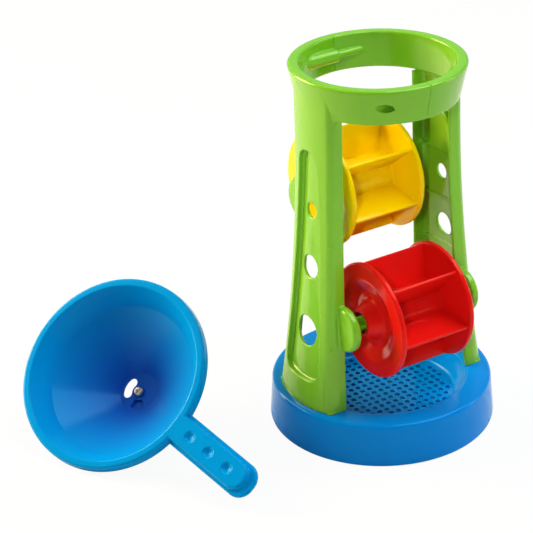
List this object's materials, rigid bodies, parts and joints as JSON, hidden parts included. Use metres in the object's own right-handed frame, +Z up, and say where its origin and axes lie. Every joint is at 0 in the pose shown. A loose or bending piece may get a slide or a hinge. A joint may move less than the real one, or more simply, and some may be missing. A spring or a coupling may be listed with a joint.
{
  "type": "sand wheel toy",
  "caption": "Plastic sand mill: a round base with a sieve tray, a two-legged tower with a collar, paddle wheels on stub pins, and a loose funnel scoop with a turning shutter.",
  "frame": {"origin": "centre of the base on the ground", "axes": "+Z up along the tower's middle line, +X along both wheel axes towards the tower half with the pegs, +Y towards the side of the upper wheel"},
  "size_m": [0.3508, 0.2513, 0.3006],
  "materials": {
    "base_blue": "moulded blue plastic, satin gloss",
    "tower_green": "moulded lime green plastic, satin gloss",
    "wheel_yellow": "moulded yellow plastic, satin gloss",
    "wheel_red": "moulded red plastic, satin gloss",
    "funnel_blue": "moulded light blue plastic, satin gloss",
    "screw_steel": "zinc plated steel"
  },
  "bodies": {
    "stand": {"base_ring": "base_blue", "sieve_floor": "base_blue", "tower_left": "tower_green", "tower_right": "tower_green"},
    "upper_wheel": {"upper_wheel_rotor": "wheel_yellow", "upper_wheel_cap": "wheel_yellow"},
    "lower_wheel": {"lower_wheel_rotor": "wheel_red", "lower_wheel_cap": "wheel_red"},
    "scoop": {"funnel": "funnel_blue"},
    "outlet_shutter": {"shutter": "funnel_blue", "shutter_screw": "screw_steel"}
  },
  "joints": [
    {"name": "upper_wheel_spin", "type": "hinge", "parent": "stand", "child": "upper_wheel", "pos_m": [0, 0.032, 0.19157], "axis": [1, 0, 0], "continuous": true},
    {"name": "lower_wheel_spin", "type": "hinge", "parent": "stand", "child": "lower_wheel", "pos_m": [0, -0.032, 0.1042], "axis": [1, 0, 0], "continuous": true},
    {"name": "funnel_lift", "type": "slide", "parent": "stand", "child": "scoop", "axis": [0, 0, 1], "range_m": [0, 0.25]},
    {"name": "shutter_turn", "type": "hinge", "parent": "scoop", "child": "outlet_shutter", "pos_m": [-0.16706, 0.10095, 0.022], "axis": [-0.6049, -0.3257, 0.7266], "range_deg": [0, 225]}
  ]
}
